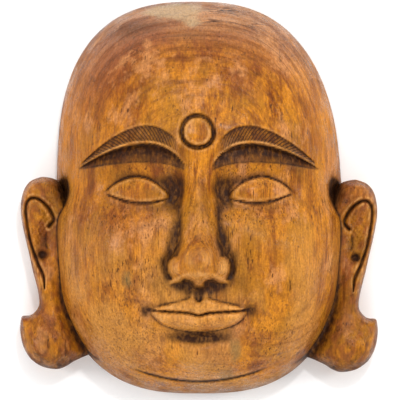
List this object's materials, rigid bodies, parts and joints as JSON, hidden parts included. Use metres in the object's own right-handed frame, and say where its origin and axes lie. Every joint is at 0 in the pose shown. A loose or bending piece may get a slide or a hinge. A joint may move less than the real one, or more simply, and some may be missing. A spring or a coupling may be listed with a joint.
{
  "type": "buddha mask",
  "caption": "Carved wooden wall mask of a bald, long-eared head with a calm face and a brow mark, hollow behind, with a flat back rim that lies on a table or against a wall.",
  "frame": {"origin": "middle of the box round the mask, in the plane of the back rim that it lies on", "axes": "+Z out of the face, +Y towards the crown, +X to the right of whoever looks at the face"},
  "size_m": [0.3622, 0.3999, 0.1589],
  "materials": {
    "wood": "stained brown, dark in the cuts, waxed to a satin gloss"
  },
  "bodies": {
    "root": {"mask": "wood"}
  },
  "joints": []
}
